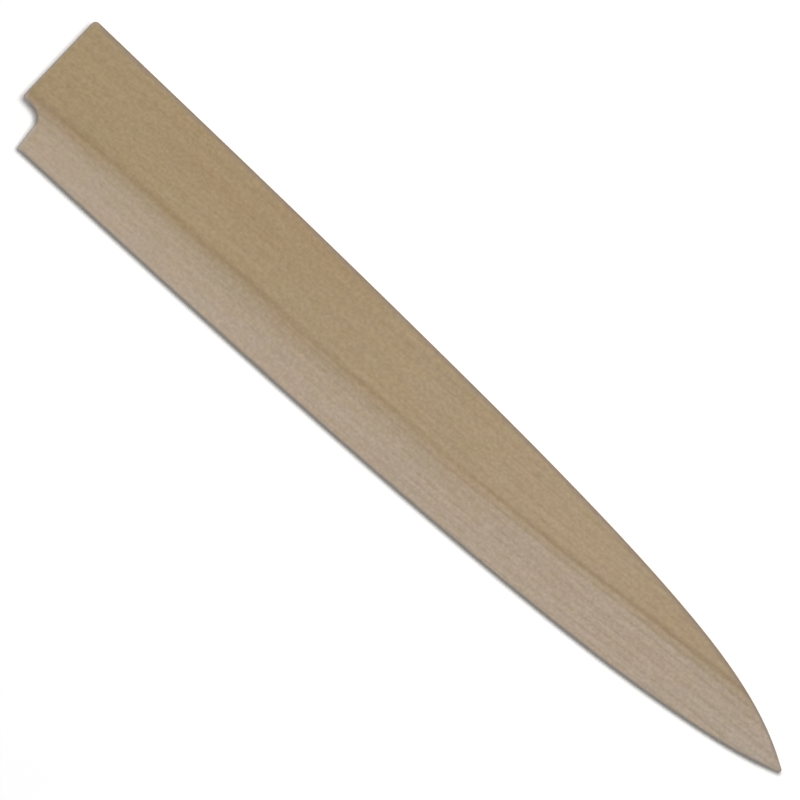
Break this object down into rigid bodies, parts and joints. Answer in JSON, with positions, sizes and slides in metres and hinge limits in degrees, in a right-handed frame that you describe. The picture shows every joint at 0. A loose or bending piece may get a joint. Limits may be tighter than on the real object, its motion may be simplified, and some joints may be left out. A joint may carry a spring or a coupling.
{
  "type": "knife blade guard",
  "caption": "Long narrow wooden knife sheath: two glued boards around a blade pocket, with a ridged and bevelled front, a flat back, a pointed tip and a notched mouth.",
  "frame": {"origin": "midway along the overall length and width, on the flat back face", "axes": "+X from the mouth to the pointed tip, +Y towards the spine side, -Y towards the cutting-edge side, +Z out of the front face that has the ridge and the bevel"},
  "size_m": [0.2992, 0.0434, 0.013],
  "materials": {
    "front_wood": "bare planed magnolia, matt, long straight grain, yellow-brown flat and paler pinkish bevel",
    "back_wood": "bare planed magnolia, matt, long straight grain",
    "glue": "dried wood glue, a thin darker line"
  },
  "bodies": {
    "root": {"front_board": "front_wood", "back_board": "back_wood", "glue_line": "glue"}
  },
  "joints": []
}
